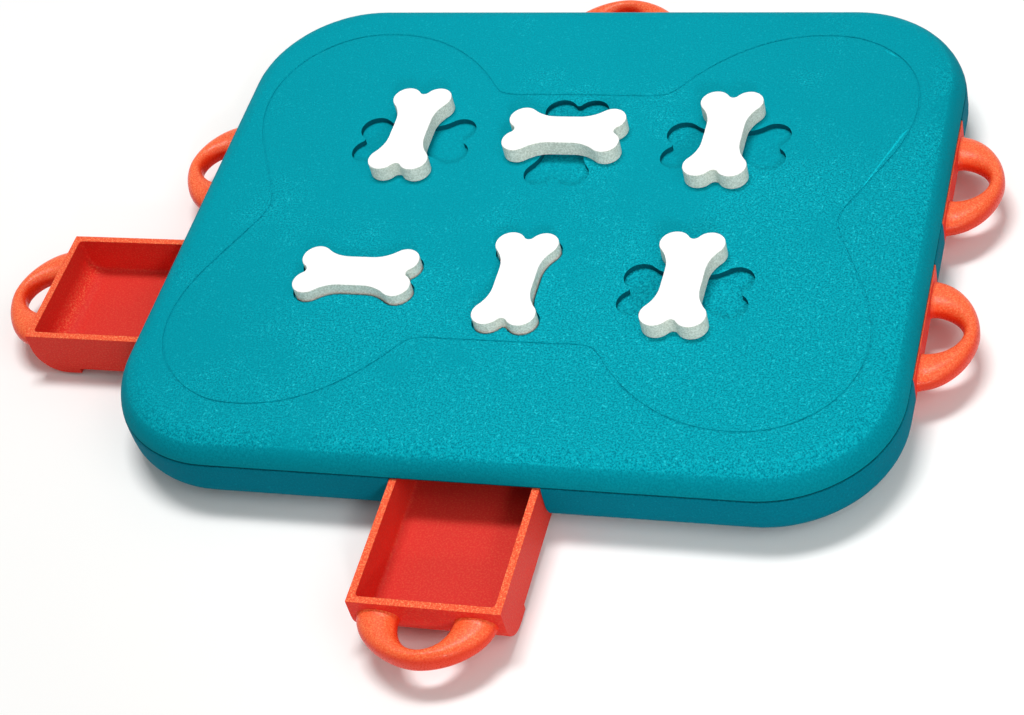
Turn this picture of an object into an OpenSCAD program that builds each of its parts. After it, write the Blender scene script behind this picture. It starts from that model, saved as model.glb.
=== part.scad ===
// Dog puzzle feeder: a low rounded case with six sliding treat drawers,
// each locked by a bone-shaped peg that sits in a recess of the cover.
// Millimetres, +Z up, drawers at the front, back, left and right.

/* [Case] */
// Width of the case along X.
body_width = 320; // [300:1:380]
// Depth of the case along Y.
body_depth = 270; // [256:1:330]
// Radius of the case's four corners seen from above.
corner_radius = 52; // [40:1:58]
// Height of the case's underside above the table.
foot_drop = 1.5; // [0.5:0.1:4]
// Height of the base, from its underside to the parting line.
base_height = 22.6; // [21:0.1:30]
// Height of the cover, from the parting line to its flat top.
cover_height = 10.4; // [9.4:0.1:16]
// Radius of the rounded edge at the bottom of the base.
bottom_round = 13; // [8:0.5:14]
// Radius of the rounded edge at the top of the cover.
top_round = 13.5; // [9:0.5:15]
// Thickness of the case's side wall.
case_wall = 3; // [2.4:0.1:3.4]
// Thickness of the base's floor.
floor_thickness = 2.5; // [2:0.1:3]
// Thickness of the cover's flat top.
top_thickness = 3; // [2.4:0.1:3.2]

/* [Seam] */
// Height of the shadow gap on the parting line.
seam_gap = 0.4; // [0.2:0.1:0.8]
// Depth of the shadow gap from the outside.
seam_depth = 0.8; // [0.4:0.1:1.2]
// Height of the lip that centres the cover on the base.
lip_height = 1.5; // [1:0.1:2]
// Thickness of the centring lip.
lip_thickness = 1.3; // [1:0.1:1.5]
// Clearance between the lip and the cover.
lip_clearance = 0.15; // [0.05:0.05:0.3]

/* [Drawers] */
// Outside width of a drawer.
drawer_width = 60; // [50:1:62]
// Length of a drawer from its front face to its rear face.
drawer_length = 101.5; // [100:0.5:110]
// Thickness of a drawer's walls.
drawer_wall = 3; // [2:0.1:3.4]
// Thickness of a drawer's floor.
drawer_floor = 2; // [1.6:0.1:3]
// Height of the drawer's rim below the parting line.
rim_drop = 0.9; // [0.6:0.1:1.2]
// Length of the deeper front part that fills the cut-out of the base.
nose_length = 19.1; // [17:0.1:24]
// Radius where the inside floor turns up into the front wall.
scoop_radius = 8.5; // [4:0.5:10]
// Radius of the upright inside corners.
inner_corner = 2.5; // [1:0.5:4]
// Radius of the upright outside corners.
outer_corner = 1.2; // [0.6:0.2:2]
// Clearance at each side of a drawer in its bay.
side_clearance = 0.4; // [0.2:0.1:0.8]
// Clearance under a drawer on the base's floor.
slide_clearance = 0.05; // [0.02:0.01:0.2]
// Clearance in front of the floor's edge when a drawer is home.
home_clearance = 0.3; // [0.1:0.1:0.6]
// How far a drawer slides before its tabs meet the stops.
drawer_travel = 80; // [60:1:82]
// How far the front drawer stands open.
front_open = 57.2; // [20:0.2:78]
// How far the left front drawer stands open.
left_front_open = 53.8; // [20:0.2:78]

/* [Drawer stops] */
// Width that each stop tab stands out from the drawer's side.
tab_reach = 2.2; // [1.6:0.1:2.4]
// Length of a stop tab along the drawer.
tab_length = 6; // [4:0.5:8]
// Height of a stop tab.
tab_height = 4; // [3:0.5:5]
// Depth of a stop tab's top below the drawer's rim.
tab_drop = 0.6; // [0.3:0.1:1.2]
// Thickness of the guide ribs on the base's floor.
rib_thickness = 2; // [1.6:0.1:2.4]
// Height of the guide ribs above the floor.
rib_height = 12; // [6:0.5:13]
// Length of the guide ribs from the outside of the case.
rib_length = 92; // [70:1:96]
// Width of the stops that the tabs meet, next to the case's wall.
horn_width = 3.2; // [3:0.1:4]

/* [Handles] */
// Width of a handle where it leaves the drawer.
handle_width = 54; // [44:1:56]
// How far a handle stands out from the drawer's front.
handle_reach = 20; // [17:0.5:26]
// Width of the finger hole at the drawer's front.
hole_width = 21.5; // [18:0.5:26]
// How far the finger hole reaches out from the drawer's front.
hole_reach = 13.8; // [11:0.1:14]
// Height of the handle.
handle_height = 9.4; // [8:0.2:11]
// Height of the handle's middle above the case's underside.
handle_level = 13.5; // [12:0.5:15]
// Edge radius round the outside of a handle.
outer_round = 3.4; // [2:0.1:3.6]
// Edge radius round the finger hole.
hole_round = 2.5; // [1:0.1:2.6]

/* [Bone pegs] */
// Distance of the front and back pegs' stems from the front and back of the case.
end_lock_inset = 93; // [91:0.1:95]
// Distance of the other pegs' stems from the left and right sides of the case.
side_lock_inset = 91.7; // [91:0.1:95]
// Distance of the side bays' middle lines from the front and back of the case.
row_inset = 93.7; // [93:0.1:98]
// Height of a bone above the stem.
bone_height = 7.3; // [6:0.1:9]
// Radius of a bone's four knuckles.
knuckle_radius = 6.2; // [5:0.1:6.4]
// Distance of a knuckle's centre from the stem along the bone.
knuckle_along = 19.2; // [17.5:0.1:21]
// Distance of a knuckle's centre from the bone's middle line.
knuckle_aside = 7; // [6.8:0.1:7.4]
// Half the width of a bone's shank.
shank_half = 8; // [7:0.1:8.6]
// Half the straight length of a bone's shank.
shank_straight = 5; // [3:0.5:6]
// Reach of the notch between the end knuckles from the stem.
notch_along = 21.7; // [20.9:0.1:22.2]
// Depth of the bone-shaped recesses in the cover.
recess_depth = 2.5; // [1.8:0.1:3]
// Thickness of the cover under a recess.
pan_floor = 2.5; // [2:0.1:3]
// Thickness of the cover round a recess.
pan_wall = 2.5; // [2:0.1:3]
// Clearance all round a bone in its recess.
recess_clearance = 0.8; // [0.4:0.1:1]
// Radius of a peg's round stem.
stem_radius = 4.5; // [3.5:0.1:5]
// Clearance of the stem in its hole.
stem_clearance = 0.08; // [0.03:0.01:0.1]
// How far a seated stem reaches below the drawer's rim.
lock_depth = 1.8; // [1.2:0.1:2]
// Chamfer at the stem's tip.
stem_chamfer = 0.6; // [0.3:0.1:1]
// Clearance under a bone on the cover.
rest_clearance = 0.03; // [0.01:0.01:0.1]
// Wall of the guide sleeve round a stem.
sleeve_wall = 2; // [1.5:0.1:2.4]
// Clearance between the guide sleeves and the drawer's rim.
sleeve_clearance = 0.9; // [0.6:0.1:1.4]

/* [Bone outline on the cover] */
// Radius of the big bone's four knuckles.
big_radius = 45.5; // [40:0.5:47]
// Distance of the big bone's ends from the case's left and right sides.
big_end_margin = 17.5; // [16:0.5:24]
// Distance of the big bone's knuckles from the case's front and back.
big_side_margin = 23.5; // [21:0.5:30]
// Distance of the big bone's shank from the case's front and back.
big_shank_margin = 63.5; // [62:0.5:70]
// Distance of the end notches from the case's left and right sides.
big_notch_margin = 39.5; // [38:0.5:46]
// Length of a slanted flank, from the straight shank to a knuckle's centre.
big_flank = 59; // [52:0.5:64]
// Width of the engraved line.
line_width = 1; // [0.6:0.1:1.6]
// Depth of the engraved line.
line_depth = 0.5; // [0.3:0.1:0.8]

/* [Screws and feet] */
// Distance of the corner screws from the case's left and right sides.
screw_inset_x = 72; // [66:1:78]
// Distance of the corner screws from the case's front and back.
screw_inset_y = 32; // [29:1:36]
// Distance of the two middle screws from the case's left and right sides.
side_screw_inset = 56; // [40:1:60]
// Radius of a screw's shank.
screw_radius = 1.5; // [1.2:0.1:1.8]
// Radius of a screw's head.
head_radius = 3; // [2.6:0.1:3.4]
// Height of a screw's head.
head_height = 2; // [1.6:0.1:2.4]
// Length of a screw below its head.
screw_length = 13; // [11:0.5:14]
// Length of a screw's pointed end.
screw_point = 1.5; // [1:0.1:2.5]
// Length of each arm of the cross slot from end to end.
slot_length = 3.2; // [2.4:0.1:4]
// Width of the cross slot.
slot_width = 0.7; // [0.5:0.1:1]
// Depth of the cross slot.
slot_depth = 1.1; // [0.6:0.1:1.4]
// Clearance round a screw in the base.
screw_clearance = 0.3; // [0.1:0.1:0.5]
// Clearance round a screw in the cover.
thread_clearance = 0.05; // [0.02:0.01:0.1]
// Depth left below a screw's point in the cover.
pilot_spare = 0.5; // [0.3:0.1:1]
// Outside radius of a screw pillar.
pillar_radius = 5.2; // [4.8:0.1:6]
// Step in from a pillar of the base to the cover's boss on it.
boss_step = 0.6; // [0.4:0.1:1]
// Thickness of the pillar's land under the parting line.
pillar_land = 6; // [4:0.5:8]
// Distance of the corner feet from the sides of the case.
foot_inset = 38; // [36:1:44]
// Radius of a foot.
foot_radius = 8; // [6:0.5:9]
// Depth of the seat that holds a foot.
foot_seat = 0.8; // [0.4:0.1:1]

/* [Hidden] */
$fn = 14;
// How far a cut runs past a face, or a joined form into its neighbour.
over = 1;
// How far the lip's root reaches down the wall.
lip_root = 2;
// Radius left at a screw's point.
point_radius = 0.4;
// Draft of a screw head from its seat to its face.
head_draft = 0.4;
base_z = foot_drop;
floor_z = base_z + floor_thickness;
parting_z = base_z + base_height;
top_z = parting_z + cover_height;
under_z = top_z - top_thickness;
rim_z = parting_z - rim_drop;
drawer_z = floor_z + slide_clearance;
inside_z = drawer_z + drawer_floor;
recess_z = top_z - recess_depth;
stem_length = recess_z - rim_z + lock_depth;
sleeve_z = rim_z + sleeve_clearance;
handle_z = base_z + handle_level;
bay_half = drawer_width / 2 + side_clearance;
cut_length = nose_length + home_clearance;
tab_y = drawer_length - tab_length;
horn_end = tab_y - drawer_travel;
tab_z = rim_z - tab_drop - tab_height;
row_y = body_depth / 2 - row_inset;
big_along = body_width / 2 - big_end_margin - big_radius;
big_aside = body_depth / 2 - big_side_margin - big_radius;
big_shank = body_depth / 2 - big_shank_margin;
big_notch = body_width / 2 - big_notch_margin;
big_straight = big_along - big_flank;
screw_x = body_width / 2 - screw_inset_x;
screw_y = body_depth / 2 - screw_inset_y;
side_screw_x = body_width / 2 - side_screw_inset;
foot_x = body_width / 2 - foot_inset;
foot_y = body_depth / 2 - foot_inset;

// One bay per drawer: name, place of its front, turn, how far it is open,
// whether its bone is crossed, and how far in its peg's stem stands.
BAYS = [
    ["front", [0, -body_depth / 2], 0, front_open, false, end_lock_inset],
    ["back", [0, body_depth / 2], 180, 0, true, end_lock_inset],
    ["left_front", [-body_width / 2, -row_y], -90, left_front_open, false, side_lock_inset],
    ["left_back", [-body_width / 2, row_y], -90, 0, true, side_lock_inset],
    ["right_front", [body_width / 2, -row_y], 90, 0, true, side_lock_inset],
    ["right_back", [body_width / 2, row_y], 90, 0, true, side_lock_inset]
];
SCREWS = [
    [-screw_x, -screw_y],
    [screw_x, -screw_y],
    [-screw_x, screw_y],
    [screw_x, screw_y],
    [-side_screw_x, 0],
    [side_screw_x, 0]
];
FEET = [
    [-foot_x, -foot_y],
    [foot_x, -foot_y],
    [-foot_x, foot_y],
    [foot_x, foot_y],
    [0, 0]
];

// Which node to draw.

// ---------- shared forms ----------

// Moves a child from a bay's own frame, front at the origin and outward along -Y, to the case.
module in_bay(bay) {
    translate([bay[1][0], bay[1][1], 0])
        rotate([0, 0, bay[2]])
            children();
}

// A section of the case's edge, from a corner's centre out to its side.
module edge_section(inset, low, high) {
    reach = corner_radius - inset;
    low_round = bottom_round - inset;
    high_round = top_round - inset;
    polygon([
        [0, low],
        [reach - low_round, low],
        [reach, low + low_round],
        [reach, high - high_round],
        [reach - high_round, high],
        [0, high]
    ]);
    translate([reach - low_round, low + low_round])
        circle(low_round, $fn = 16);
    translate([reach - high_round, high - high_round])
        circle(high_round, $fn = 16);
}

// The case's wall in section between two heights.
module wall_section(from, to) {
    difference() {
        intersection() {
            edge_section(0, base_z, top_z);
            translate([0, from])
                square([corner_radius + over, to - from]);
        }
        edge_section(case_wall, floor_z, under_z);
    }
}

// A plain strip of the wall between two insets and two heights.
module strip_section(outer, inner, from, to) {
    translate([corner_radius - inner, from])
        square([inner - outer, to - from]);
}

// Carries a section round the case: four turned corners and four straight sides.
module round_the_case() {
    side_x = body_width / 2 - corner_radius;
    side_y = body_depth / 2 - corner_radius;
    for (q = [0 : 3]) {
        out = q % 2 == 0 ? side_x : side_y;
        along = q % 2 == 0 ? side_y : side_x;
        rotate([0, 0, 90 * q])
            translate([out, along, 0])
                rotate_extrude(angle = 90, $fn = 24)
                    children();
        rotate([0, 0, 90 * q])
            translate([out, along, 0])
                rotate([90, 0, 0])
                    linear_extrude(2 * along)
                        children();
    }
}

// The flat middle between the corners' centres.
module middle_plate(low, high) {
    wide = body_width - 2 * corner_radius;
    deep = body_depth - 2 * corner_radius;
    translate([-wide / 2, -deep / 2, low])
        cube([wide, deep, high - low]);
}

// A quarter of a bone's outline: knuckle, hollow beside the shank and notch in the end.
module bone_quarter(along, aside, knuckle, shank, straight, notch) {
    rise = shank - aside;
    run = along - straight;
    hollow = (run * run + rise * rise - knuckle * knuckle) / (2 * (knuckle - rise));
    share = hollow / (hollow + knuckle);
    joint_x = straight + run * share;
    joint_y = shank + hollow - (rise + hollow) * share;
    past = notch - along;
    dip = (past * past + aside * aside - knuckle * knuckle) / (2 * (knuckle - past));
    translate([along, aside])
        circle(knuckle, $fn = 14);
    difference() {
        polygon([
            [0, 0],
            [notch + dip, 0],
            [along, aside],
            [joint_x, joint_y],
            [straight, joint_y],
            [0, joint_y]
        ]);
        translate([notch + dip, 0])
            circle(dip, $fn = 13);
        translate([straight, shank + hollow])
            circle(hollow, $fn = 22);
        translate([0, shank])
            square([straight, hollow]);
    }
}

// A whole small bone, long along X, grown all round by a clearance.
module bone_outline(grow) {
    for (sx = [0, 1])
        for (sy = [0, 1])
            mirror([sx, 0])
                mirror([0, sy])
                    bone_quarter(knuckle_along, knuckle_aside, knuckle_radius + grow,
                        shank_half + grow, shank_straight, notch_along + grow);
}

// A quarter of the big bone: a knuckle with straight flanks to its shank and notch.
module big_bone_quarter(grow) {
    knuckle = big_radius + grow;
    notch = big_notch + grow;
    shank = big_shank + grow;
    // Where the flank from the notch meets the knuckle.
    nx = notch - big_along;
    n_far = sqrt(nx * nx + big_aside * big_aside);
    n_turn = atan2(-big_aside, nx) + acos(knuckle / n_far);
    // Where the flank from the shank meets the knuckle.
    sx = big_straight - big_along;
    sy = shank - big_aside;
    s_far = sqrt(sx * sx + sy * sy);
    s_turn = atan2(sy, sx) - acos(knuckle / s_far);
    translate([big_along, big_aside])
        circle(knuckle, $fn = 32);
    polygon([
        [0, 0],
        [notch, 0],
        [big_along + knuckle * cos(n_turn), big_aside + knuckle * sin(n_turn)],
        [big_along, big_aside],
        [big_along + knuckle * cos(s_turn), big_aside + knuckle * sin(s_turn)],
        [big_straight, shank],
        [0, shank]
    ]);
}

// The big bone's whole outline.
module big_bone(grow) {
    for (sx = [0, 1])
        for (sy = [0, 1])
            mirror([sx, 0])
                mirror([0, sy])
                    big_bone_quarter(grow);
}

// ---------- base ----------

// The cut-out of a bay: through the wall, and through the floor under the drawer's nose.
module bay_cut() {
    translate([-bay_half, -over, 0])
        cube([2 * bay_half, cut_length + over, parting_z + lip_height + over]);
}

// A bay's two guide ribs, each with a tall stop next to the wall.
module bay_ribs() {
    for (s = [0, 1])
        mirror([s, 0, 0]) {
            translate([bay_half, case_wall / 2, floor_z - over])
                cube([rib_thickness, rib_length - case_wall / 2, rib_height + over]);
            translate([bay_half, case_wall / 2, floor_z - over])
                cube([horn_width, horn_end - case_wall / 2, tab_z + tab_height - floor_z + over]);
        }
}

// A screw pillar of the base, up to the parting line.
module pillar() {
    translate([0, 0, floor_z - over])
        cylinder(h = parting_z - floor_z + over, r = pillar_radius);
}

// The way for a screw: a deep counterbore for the head, then a clear hole.
module screw_way() {
    translate([0, 0, base_z - over])
        cylinder(h = base_height - pillar_land + over, r = head_radius + screw_clearance);
    translate([0, 0, base_z])
        cylinder(h = base_height + over, r = screw_radius + screw_clearance);
}

module base_tray() {
    color("teal")
        difference() {
            union() {
                round_the_case()
                    difference() {
                        wall_section(base_z, parting_z);
                        strip_section(-over, seam_depth, parting_z - seam_gap, parting_z + over);
                    }
                middle_plate(base_z, floor_z);
                round_the_case()
                    strip_section(case_wall - lip_thickness, case_wall, parting_z - lip_root,
                        parting_z + lip_height);
                intersection() {
                    union() {
                        for (bay = BAYS)
                            in_bay(bay)
                                bay_ribs();
                    }
                    union() {
                        round_the_case()
                            edge_section(case_wall / 2, base_z + over, top_z - over);
                        middle_plate(base_z, top_z);
                    }
                }
                for (at = SCREWS)
                    translate([at[0], at[1], 0])
                        pillar();
            }
            for (bay = BAYS)
                in_bay(bay)
                    bay_cut();
            for (at = SCREWS)
                translate([at[0], at[1], 0])
                    screw_way();
            for (at = FEET)
                translate([at[0], at[1], base_z - over])
                    cylinder(h = foot_seat + over, r = foot_radius);
        }
}

// ---------- cover ----------

// What hangs under the cover at a bone: the recess's pan and the stem's guide sleeve.
module bone_pan(lock_inset) {
    pan_x = knuckle_aside + knuckle_radius + recess_clearance + pan_wall;
    pan_y = knuckle_along + knuckle_radius + recess_clearance + pan_wall;
    translate([-pan_x, lock_inset - pan_y, recess_z - pan_floor])
        cube([2 * pan_x, 2 * pan_y, pan_floor + recess_depth - top_thickness + over]);
    translate([0, lock_inset, sleeve_z])
        cylinder(h = recess_z - sleeve_z, r = stem_radius + stem_clearance + sleeve_wall);
}

// What is cut from the cover at a bone: the recess and the stem's hole.
module bone_cut(lock_inset) {
    translate([0, lock_inset, recess_z])
        rotate([0, 0, 90])
            linear_extrude(recess_depth + over)
                bone_outline(recess_clearance);
    translate([0, lock_inset, sleeve_z - over])
        cylinder(h = recess_z - sleeve_z + 2 * over, r = stem_radius + stem_clearance);
}

module top_cover() {
    color("darkcyan")
        difference() {
            union() {
                round_the_case()
                    difference() {
                        wall_section(parting_z, top_z);
                        strip_section(case_wall - lip_thickness - lip_clearance, case_wall + over,
                            parting_z - over, parting_z + lip_height + lip_clearance);
                    }
                middle_plate(under_z, top_z);
                for (bay = BAYS)
                    in_bay(bay)
                        bone_pan(bay[5]);
                for (at = SCREWS)
                    translate([at[0], at[1], parting_z])
                        cylinder(h = under_z - parting_z + over, r = pillar_radius - boss_step);
            }
            for (bay = BAYS)
                in_bay(bay)
                    bone_cut(bay[5]);
            translate([0, 0, top_z - line_depth])
                linear_extrude(line_depth + over)
                    difference() {
                        big_bone(line_width / 2);
                        big_bone(-line_width / 2);
                    }
            for (at = SCREWS)
                translate([at[0], at[1], parting_z - over])
                    cylinder(h = screw_length - pillar_land + pilot_spare + over,
                        r = screw_radius + thread_clearance);
        }
}

// ---------- drawers ----------

// A drawer seen from its side, with a nose that continues the case's lower edge.
module drawer_side() {
    intersection() {
        translate([0, base_z])
            square([nose_length, rim_z - base_z]);
        union() {
            translate([0, base_z + bottom_round])
                square([nose_length, rim_z]);
            translate([bottom_round, base_z])
                square([nose_length, rim_z]);
            translate([bottom_round, base_z + bottom_round])
                circle(bottom_round, $fn = 20);
        }
    }
    translate([nose_length - over, drawer_z])
        square([drawer_length - nose_length + over, rim_z - drawer_z]);
}

// The hollow of a drawer seen from its side, with a scooped front.
module hollow_side() {
    back = drawer_length - drawer_wall;
    polygon([
        [drawer_wall, inside_z + scoop_radius],
        [drawer_wall + scoop_radius, inside_z],
        [back, inside_z],
        [back, rim_z + over],
        [drawer_wall, rim_z + over]
    ]);
    translate([drawer_wall + scoop_radius, inside_z + scoop_radius])
        circle(scoop_radius, $fn = 16);
}

// A rectangle seen from above with rounded corners, its front edge at a given inset.
module plan_box(inset, round) {
    half = drawer_width / 2 - inset;
    near = inset;
    far = drawer_length - inset;
    translate([-half + round, near])
        square([2 * (half - round), far - near]);
    translate([-half, near + round])
        square([2 * half, far - near - 2 * round]);
    for (x = [-half + round, half - round])
        for (y = [near + round, far - round])
            translate([x, y])
                circle(round);
}

// Turns a side view, outward to the left, into a block as wide as a drawer.
module across(width) {
    translate([-width / 2, 0, 0])
        rotate([90, 0, 90])
            linear_extrude(width)
                children();
}

// A handle: a round-edged disc with a round-edged finger hole, as far as it stands out.
module handle() {
    disc = (handle_width * handle_width / 4 + handle_reach * handle_reach) / (2 * handle_reach);
    hole = (hole_width * hole_width / 4 + hole_reach * hole_reach) / (2 * hole_reach);
    half = handle_height / 2;
    translate([0, 0, handle_z])
        difference() {
            translate([0, disc - handle_reach, 0])
                rotate_extrude($fn = 20) {
                    translate([0, -half])
                        square([disc - outer_round, handle_height]);
                    translate([0, outer_round - half])
                        square([disc, handle_height - 2 * outer_round]);
                    for (y = [outer_round - half, half - outer_round])
                        translate([disc - outer_round, y])
                            circle(outer_round, $fn = 13);
                }
            translate([-handle_width, drawer_wall / 2, -handle_height])
                cube([2 * handle_width, 4 * disc, 2 * handle_height]);
            translate([0, hole - hole_reach, 0])
                rotate_extrude($fn = 16)
                    difference() {
                        translate([0, -handle_height])
                            square([hole + hole_round, 2 * handle_height]);
                        translate([hole, hole_round - half])
                            square([hole_round + over, handle_height - 2 * hole_round]);
                        for (y = [hole_round - half, half - hole_round])
                            translate([hole + hole_round, y])
                                circle(hole_round, $fn = 13);
                    }
        }
}

// One drawer in its bay's frame, closed.
module drawer() {
    color("orangered")
        difference() {
            union() {
                intersection() {
                    across(drawer_width)
                        drawer_side();
                    linear_extrude(rim_z + over)
                        plan_box(0, outer_corner);
                }
                handle();
                for (s = [0, 1])
                    mirror([s, 0, 0])
                        translate([drawer_width / 2 - over, tab_y, tab_z])
                            cube([tab_reach + over, tab_length, tab_height]);
            }
            intersection() {
                across(drawer_width)
                    hollow_side();
                translate([0, 0, inside_z - over])
                    linear_extrude(rim_z - inside_z + 2 * over)
                        plan_box(drawer_wall, inner_corner);
            }
        }
}

// A drawer where it stands, open by its own distance.
module placed_drawer(i) {
    in_bay(BAYS[i])
        translate([0, -BAYS[i][3], 0])
            drawer();
}

// ---------- bone pegs ----------

// A bone with its round stem, the stem's axis at the origin.
module bone_peg() {
    color("white")
        union() {
            linear_extrude(bone_height)
                bone_outline(0);
            translate([0, 0, -stem_length])
                cylinder(h = stem_chamfer, r1 = stem_radius - stem_chamfer, r2 = stem_radius);
            translate([0, 0, stem_chamfer - stem_length])
                cylinder(h = stem_length - stem_chamfer + over, r = stem_radius);
        }
}

// A peg where it stands: down in its recess, or across it on the cover.
module placed_peg(i) {
    crossed = BAYS[i][4];
    in_bay(BAYS[i])
        translate([0, BAYS[i][5], (crossed ? top_z : recess_z) + rest_clearance])
            rotate([0, 0, crossed ? 0 : 90])
                bone_peg();
}

// ---------- screws and feet ----------

// A case screw, its head bearing on the land of its pillar.
module case_screw(i) {
    seat = parting_z - pillar_land;
    color("silver")
        translate([SCREWS[i][0], SCREWS[i][1], seat])
            union() {
                cylinder(h = screw_length - screw_point, r = screw_radius);
                translate([0, 0, screw_length - screw_point])
                    cylinder(h = screw_point, r1 = screw_radius, r2 = point_radius);
                difference() {
                    translate([0, 0, -head_height])
                        cylinder(h = head_height, r1 = head_radius - head_draft, r2 = head_radius);
                    for (a = [0, 90])
                        rotate([0, 0, a])
                            translate([-slot_length / 2, -slot_width / 2, -head_height - over])
                                cube([slot_length, slot_width, slot_depth + over]);
                }
            }
}

// A soft foot in its seat.
module foot(i) {
    color("dimgray")
        translate([FEET[i][0], FEET[i][1], 0])
            cylinder(h = base_z + foot_seat, r = foot_radius);
}

base_tray();
top_cover();
placed_drawer(0);  // drawer_front
placed_drawer(1);  // drawer_back
placed_drawer(2);  // drawer_left_front
placed_drawer(3);  // drawer_left_back
placed_drawer(4);  // drawer_right_front
placed_drawer(5);  // drawer_right_back
placed_peg(0);  // bone_peg_front
placed_peg(1);  // bone_peg_back
placed_peg(2);  // bone_peg_left_front
placed_peg(3);  // bone_peg_left_back
placed_peg(4);  // bone_peg_right_front
placed_peg(5);  // bone_peg_right_back
case_screw(0);  // case_screw_1
case_screw(1);  // case_screw_2
case_screw(2);  // case_screw_3
case_screw(3);  // case_screw_4
case_screw(4);  // case_screw_5
case_screw(5);  // case_screw_6
foot(0);  // foot_front_left
foot(1);  // foot_front_right
foot(2);  // foot_back_left
foot(3);  // foot_back_right
foot(4);  // foot_centre
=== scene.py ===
import math
from contextlib import contextmanager

import bmesh
import bpy
import numpy as np
from mathutils import Matrix, Vector


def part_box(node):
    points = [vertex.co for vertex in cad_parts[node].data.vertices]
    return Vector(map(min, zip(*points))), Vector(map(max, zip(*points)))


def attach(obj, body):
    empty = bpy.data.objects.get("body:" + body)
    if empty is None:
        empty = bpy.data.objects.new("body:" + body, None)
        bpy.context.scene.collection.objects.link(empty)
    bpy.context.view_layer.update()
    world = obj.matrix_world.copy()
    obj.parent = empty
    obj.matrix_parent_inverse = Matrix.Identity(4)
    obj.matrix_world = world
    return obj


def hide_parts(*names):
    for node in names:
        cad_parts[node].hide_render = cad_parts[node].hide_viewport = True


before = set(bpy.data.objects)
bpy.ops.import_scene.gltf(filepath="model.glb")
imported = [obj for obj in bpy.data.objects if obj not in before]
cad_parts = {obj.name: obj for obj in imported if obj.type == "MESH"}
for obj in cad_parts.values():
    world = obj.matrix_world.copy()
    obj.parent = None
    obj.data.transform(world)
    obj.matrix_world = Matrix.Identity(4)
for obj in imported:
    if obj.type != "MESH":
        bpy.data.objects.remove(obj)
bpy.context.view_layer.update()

# ---------- sizes, in millimetres ----------

MM = 0.001
# Two levels no further apart than this are one level.
NEAR = 0.02

# A drawer, in its bay's frame: front face at y = 0, outward along -Y.
DRAWER_WIDTH = 60
DRAWER_LENGTH = 101.5
DRAWER_WALL = 3
NOSE_LENGTH = 19.1
NOSE_ROUND = 13
FLOOR_LEVEL = 4.05
INSIDE_LEVEL = 6.05
SCOOP_RADIUS = 8.5
INSIDE_CORNER = 1.6
OUTSIDE_CORNER = 1.2
LOWER_EDGE_ROUND = 0.5
RIM_ROUND = 0.45
# A block's edges above this level are its rim's.
RIM_ZONE = 20
# The hollow's cutter rises this far above the rim, and its edges above this level aren't rounded.
CUTTER_RISE = 5
ABOVE_RIM = 25

# A drawer's stop tabs, at its rear end just below the rim.
TAB_REACH = 2.2
TAB_ROOT = 1
TAB_LENGTH = 6
TAB_HEIGHT = 4
TAB_DROP = 0.6
# How far a tab still is from its stop when the drawer is fully out.
TAB_GAP = 0.08

# A loop handle: its outer arch, its hole, its section and how it meets the drawer.
HANDLE_SIZES = {
    "Half width": 27, "Reach": 20,
    "Hole half width": 10.75, "Hole reach": 13.8,
    "Height": 9.4, "Level": 15,
    "Root depth": 1.6, "Flare": 0.35,
}
FLARE_REACH = 2.6
# Points of the handle closer than this are one point.
HANDLE_MERGE = 0.002
# The rows of points along the loop and round its section.
HANDLE_ROWS, HANDLE_ROUND = 85, 37
# This share of the rows is the arch; the others run straight into the drawer's wall.
ARCH_SHARE = 0.92
# The outer arch is a little fuller than straight flanks and leaner than an ellipse.
ARCH_FULLNESS = 2 / 1.8
# The section is a little squarer than an ellipse.
SECTION_SQUARENESS = 0.92

# A bone peg.
BONE_HEIGHT = 7.3
BONE_EDGE = 0.35
# The underside's edge: how far each ring lies inside the outline, and its height.
BONE_UNDER_EDGE = [(-0.45, 0), (-0.2, 0.12), (0, 0.45)]
KNUCKLE_RADIUS = 6.2
KNUCKLE_ALONG = 19.2
KNUCKLE_ASIDE = 7
SHANK_HALF = 8
SHANK_STRAIGHT = 5
NOTCH_ALONG = 21.7
STEM_RADIUS = 4.5
STEM_CHAMFER = 0.6
STEM_ROOT = 1
STEM_SIDES = 48

# The engraved bone: a quarter of the middle of its line, from the back round to the right.
BIG_BONE = [
    (0, 71.7), (20, 71.7), (33, 71.8), (37.5, 73), (41, 76.5), (45.5, 82.5), (51.5, 89.3),
    (60, 97), (70, 103.6), (82, 108.5), (98, 110.8), (112, 109.2), (124, 103.6), (135, 93.2),
    (141.3, 81), (143.8, 68), (143, 56), (139.5, 43), (134, 30.5), (128, 18), (124, 9.5),
    (121.8, 3.5), (121.3, 0),
]
LINE_WIDTH = 1
LINE_DEPTH = 0.5
LINE_STEPS = 5
# Half the width and depth of the field that holds the six recesses, which the line runs round.
RECESS_FIELD = 98, 70

# Edge rounds of the case.
RECESS_RIM_ROUND = 0.3
RECESS_FLOOR_ROUND = 0.35
LINE_ROUND = 0.42
SEAM_ROUND = 0.35
# How far below the cover's top the edges of recess floors lie.
RECESS_FLOOR_BAND = 3, 1.5
# The drawer openings' edges lie no further than this inside the base's box.
OPENING_DEPTH = 16

# How far each bay is turned from the front one, in degrees.
BAY_TURNS = {
    "front": 0, "back": 180, "left_front": -90, "left_back": -90, "right_front": 90,
    "right_back": 90,
}

# Angles between neighbouring faces: merged below the first, rounded above the second, and shaded
# as a sharp edge above the third.
FLAT_ANGLE = math.radians(0.3)
ROUNDED_ANGLE = math.radians(35)
SHARP_ANGLE = math.radians(40)


# ---------- node trees as expressions ----------

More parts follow.
